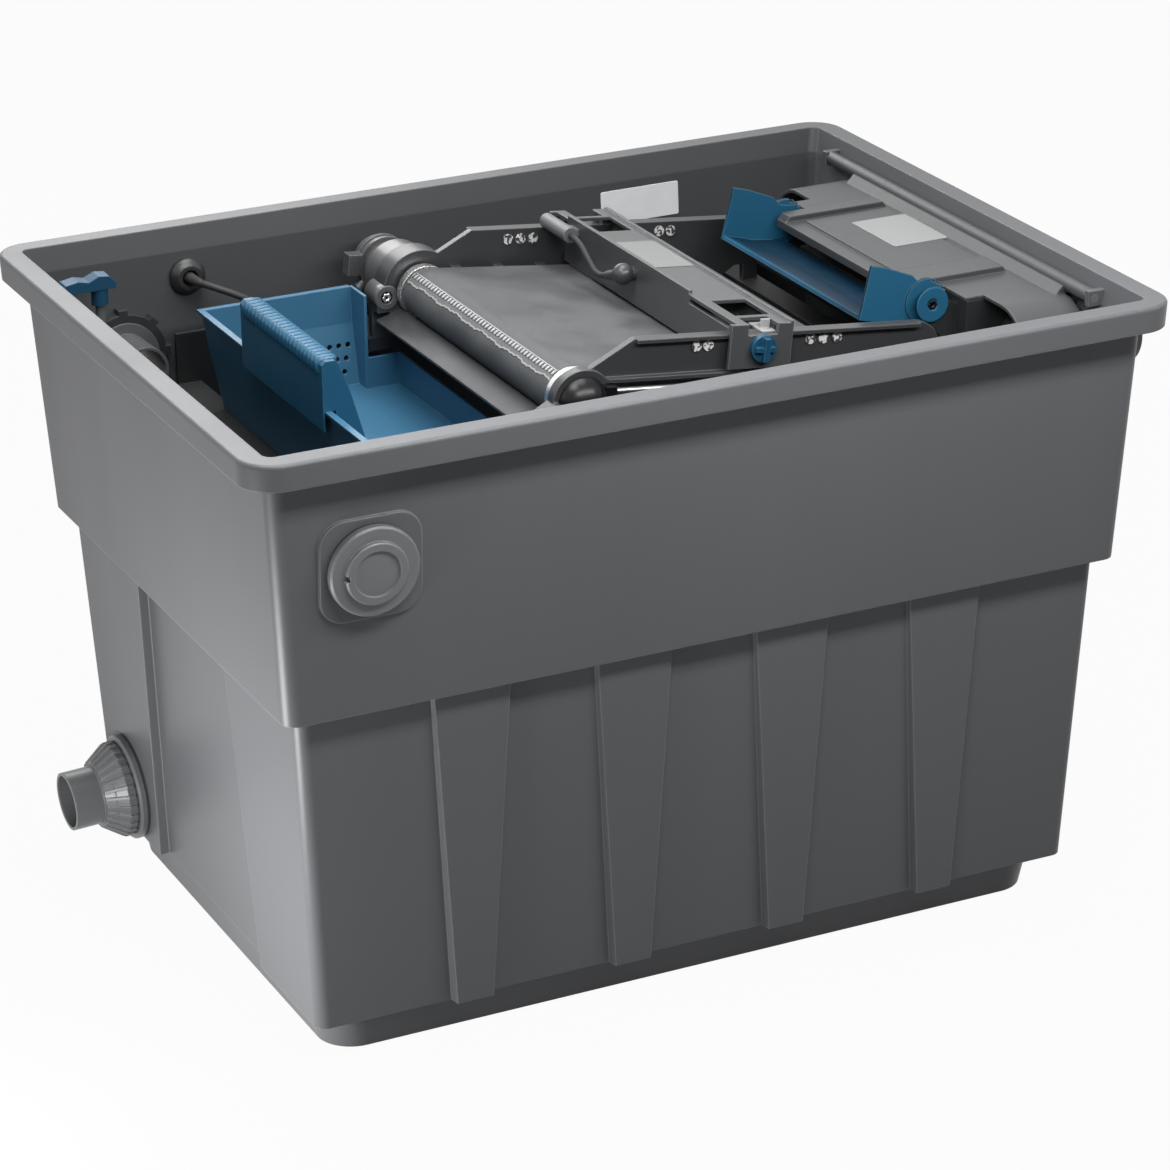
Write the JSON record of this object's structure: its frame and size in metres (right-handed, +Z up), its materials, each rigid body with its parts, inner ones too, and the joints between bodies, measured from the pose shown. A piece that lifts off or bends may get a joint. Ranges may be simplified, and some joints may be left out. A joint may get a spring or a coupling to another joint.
{
  "type": "pond flow-through filter",
  "caption": "Open-top pond filter box with a motor-driven screen belt, scraper and debris basket, a hooded inlet trough, a flip chute, foam blocks, a sludge gate valve and pipe stubs.",
  "frame": {"origin": "centre of the tub's base on the floor", "axes": "+X along the long side towards the inlets, +Y towards the wall with the outlet, +Z up"},
  "size_m": [0.8194, 0.6131, 0.536],
  "materials": {
    "tub_grey": "satin moulded plastic",
    "black_plastic": "satin",
    "grey_plastic": "satin",
    "blue_plastic": "satin",
    "rubber": "matte",
    "steel": "satin",
    "mesh": "fine woven mesh",
    "foam": "open-cell foam"
  },
  "bodies": {
    "tub_body": {"tub": "tub_grey", "blanking_plug": "tub_grey", "plug_seal": "rubber", "plug_nut": "black_plastic", "outlet_fitting": "tub_grey", "outlet_seal": "rubber", "outlet_nut": "black_plastic", "drain_seal": "rubber", "drain_body": "tub_grey", "drain_spigot": "tub_grey", "valve_housing": "black_plastic", "inlet_elbow_front": "black_plastic", "inlet_elbow_back": "black_plastic", "inlet_seals": "rubber", "inlet_nuts": "black_plastic", "support_frame": "black_plastic", "foam_grid": "black_plastic", "distributor_box": "black_plastic", "hinge_rod": "grey_plastic", "rod_brackets": "tub_grey", "cable_gland": "black_plastic", "motor_lead": "rubber", "foam_1": "foam", "foam_2": "foam", "foam_3": "foam", "foam_4": "foam", "foam_5": "foam", "foam_6": "foam"},
    "screen_unit": {"side_arm_front": "black_plastic", "side_arm_back": "black_plastic", "arm_pins_front": "steel", "arm_pins_back": "steel", "belt_bed": "black_plastic", "screen_belt": "mesh", "scraper": "grey_plastic", "gearmotor": "black_plastic", "motor_cap": "black_plastic", "bearing_cap": "black_plastic", "tension_rod": "steel", "cross_beam": "black_plastic", "beam_clip": "steel", "sensor_sheath": "grey_plastic", "sensor_plug": "black_plastic", "sensor_lead": "rubber"},
    "drive_roller": {"drive_roller": "grey_plastic", "drive_collars": "steel"},
    "tail_roller": {"tail_roller": "grey_plastic"},
    "lock_knob": {"lock_knob": "blue_plastic"},
    "chute": {"chute": "blue_plastic", "chute_pins": "black_plastic"},
    "distributor_hood": {"distributor_hood": "grey_plastic"},
    "debris_tray": {"debris_tray": "blue_plastic", "tray_handle": "blue_plastic"},
    "drain_valve": {"gate_blade": "grey_plastic", "valve_rod": "grey_plastic", "valve_handle": "blue_plastic"},
    "union_nut": {"union_nut": "tub_grey"}
  },
  "joints": [
    {"name": "screen_unit_lift", "type": "slide", "parent": "tub_body", "child": "screen_unit", "axis": [0, 0, 1], "range_m": [0, 0.15]},
    {"name": "drive_roller_spin", "type": "hinge", "parent": "screen_unit", "child": "drive_roller", "pos_m": [-0.068, 0, 0.481], "axis": [0, 1, 0], "continuous": true},
    {"name": "tail_roller_spin", "type": "hinge", "parent": "screen_unit", "child": "tail_roller", "pos_m": [0.18054, 0, 0.454], "axis": [0, 1, 0], "continuous": true},
    {"name": "lock_knob_turn", "type": "hinge", "parent": "screen_unit", "child": "lock_knob", "pos_m": [0.08523, -0.17, 0.50258], "axis": [0, 1, 0], "range_deg": [0, 90]},
    {"name": "chute_tilt", "type": "hinge", "parent": "tub_body", "child": "chute", "pos_m": [0.26, 0, 0.499], "axis": [0, 1, 0], "range_deg": [-60, 0]},
    {"name": "hood_hinge", "type": "hinge", "parent": "tub_body", "child": "distributor_hood", "pos_m": [0.3635, 0, 0.512], "axis": [0, 1, 0], "range_deg": [0, 90]},
    {"name": "tray_lift", "type": "slide", "parent": "tub_body", "child": "debris_tray", "axis": [-0.6428, 0, 0.766], "range_m": [0, 0.2]},
    {"name": "drain_valve_lift", "type": "slide", "parent": "tub_body", "child": "drain_valve", "axis": [0, 0, 1], "range_m": [0, 0.052]},
    {"name": "union_nut_turn", "type": "hinge", "parent": "tub_body", "child": "union_nut", "pos_m": [-0.33902, 0.17, 0.074], "axis": [-0.9988, 0, -0.0488], "continuous": true}
  ],
  "couplings": [
    {"joint": "tail_roller_spin", "follows": "drive_roller_spin", "ratio": 1.3826}
  ]
}
